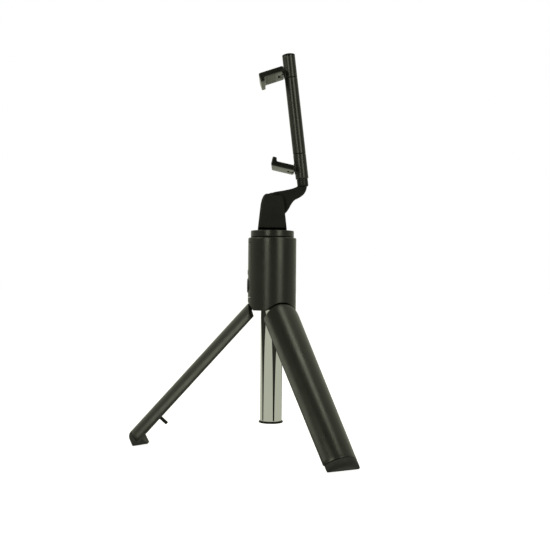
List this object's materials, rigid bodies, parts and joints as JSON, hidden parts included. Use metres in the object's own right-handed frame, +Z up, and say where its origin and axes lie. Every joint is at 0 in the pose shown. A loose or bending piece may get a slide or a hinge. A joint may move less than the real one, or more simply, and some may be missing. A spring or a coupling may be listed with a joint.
{
  "type": "selfie stick",
  "caption": "Telescoping chrome pole with fold-out tripod legs, tilt head, spring phone clip and a pull-out remote.",
  "frame": {"origin": "centre of the lower face of the pole's end plug", "axes": "+Z up along the pole, -X the side of the clamp arms and the remote, legs spread below"},
  "size_m": [0.1489, 0.1718, 0.2651],
  "materials": {
    "satin_black": "satin, finely textured",
    "matte_black": "matte moulded",
    "rubber": "matte soft",
    "chrome": "mirror polished",
    "steel": "bright zinc",
    "circuit_board": "lacquered",
    "smoked_lens": "smooth"
  },
  "bodies": {
    "root": {"housing_shell": "satin_black", "leg_hub": "matte_black", "hub_screw_1": "steel", "hub_screw_2": "steel", "hub_screw_3": "steel", "outer_tube": "chrome", "tube_gland": "matte_black", "pole_end_plug": "matte_black", "leg_pin_1": "steel", "leg_pin_2": "steel", "leg_pin_3": "steel", "remote_tray": "matte_black"},
    "leg_1": {"leg_shell_1": "satin_black", "leg_sole_1": "rubber", "leg_peg_1": "matte_black"},
    "leg_2": {"leg_shell_2": "satin_black", "leg_sole_2": "rubber", "leg_peg_2": "matte_black"},
    "leg_3": {"leg_shell_3": "satin_black", "leg_sole_3": "rubber", "leg_peg_3": "matte_black"},
    "pole_section_1": {"section_1": "chrome", "section_bush_1": "matte_black"},
    "pole_section_2": {"section_2": "chrome", "section_bush_2": "matte_black"},
    "pole_section_3": {"section_3": "chrome", "section_bush_3": "matte_black"},
    "head": {"section_4": "chrome", "section_bush_4": "matte_black", "head_cap": "satin_black", "tilt_yoke": "matte_black", "yoke_screw": "steel", "tilt_screw": "steel", "tilt_nut": "steel", "friction_washer_1": "matte_black", "friction_washer_2": "matte_black"},
    "neck": {"neck_bracket": "matte_black", "swivel_screw": "steel"},
    "clip": {"lower_sleeve": "satin_black", "middle_tube": "satin_black", "lower_arm_pin": "steel", "clip_spring": "steel"},
    "clip_upper": {"upper_sleeve": "satin_black", "clip_rod": "steel", "clip_top_cap": "matte_black", "upper_arm_pin": "steel"},
    "lower_clamp_arm": {"lower_arm": "matte_black", "lower_arm_pad": "rubber"},
    "upper_clamp_arm": {"upper_arm": "matte_black", "upper_arm_pad": "rubber"},
    "remote": {"remote_cover": "satin_black", "remote_back": "matte_black", "remote_board": "circuit_board", "remote_cell": "steel", "remote_lens": "smoked_lens"},
    "shutter": {"shutter_button": "matte_black"}
  },
  "joints": [
    {"name": "leg_1_hinge", "type": "hinge", "parent": "root", "child": "leg_1", "pos_m": [-0.0126, 0, 0.0787], "axis": [0, -1, 0], "range_deg": [0, 42]},
    {"name": "leg_2_hinge", "type": "hinge", "parent": "root", "child": "leg_2", "pos_m": [0.00603, -0.01106, 0.0787], "axis": [0.878, 0.4787, 0], "range_deg": [0, 42]},
    {"name": "leg_3_hinge", "type": "hinge", "parent": "root", "child": "leg_3", "pos_m": [0.00603, 0.01106, 0.0787], "axis": [-0.878, 0.4787, 0], "range_deg": [0, 42]},
    {"name": "pole_slide_1", "type": "slide", "parent": "root", "child": "pole_section_1", "axis": [0, 0, 1], "range_m": [0, 0.095]},
    {"name": "pole_slide_2", "type": "slide", "parent": "pole_section_1", "child": "pole_section_2", "axis": [0, 0, 1], "range_m": [0, 0.095]},
    {"name": "pole_slide_3", "type": "slide", "parent": "pole_section_2", "child": "pole_section_3", "axis": [0, 0, 1], "range_m": [0, 0.095]},
    {"name": "pole_slide_4", "type": "slide", "parent": "pole_section_3", "child": "head", "axis": [0, 0, 1], "range_m": [0, 0.095]},
    {"name": "head_tilt", "type": "hinge", "parent": "head", "child": "neck", "pos_m": [0, 0, 0.1458], "axis": [0, 1, 0], "range_deg": [-110, 45]},
    {"name": "clip_swivel", "type": "hinge", "parent": "neck", "child": "clip", "pos_m": [0.0199, 0, 0.1647], "axis": [-0.1181, 0, 0.993], "continuous": true},
    {"name": "clip_open", "type": "slide", "parent": "clip", "child": "clip_upper", "axis": [-0.1181, 0, 0.993], "range_m": [0, 0.03], "stiffness_N_per_m": 150, "springref_m": -0.03, "deforming": ["clip_spring"]},
    {"name": "lower_arm_fold", "type": "hinge", "parent": "clip", "child": "lower_clamp_arm", "pos_m": [0.01218, 0, 0.17123], "axis": [0, 1, 0], "range_deg": [-17, 35]},
    {"name": "upper_arm_fold", "type": "hinge", "parent": "clip_upper", "child": "upper_clamp_arm", "pos_m": [0.00444, 0, 0.23633], "axis": [0, 1, 0], "range_deg": [-40, 12]},
    {"name": "remote_release", "type": "slide", "parent": "root", "child": "remote", "axis": [-1, 0, 0], "range_m": [0, 0.008]},
    {"name": "shutter_press", "type": "slide", "parent": "remote", "child": "shutter", "axis": [1, 0, 0], "range_m": [0, 0.0005], "stiffness_N_per_m": 2000, "springref_m": -0.0005}
  ]
}
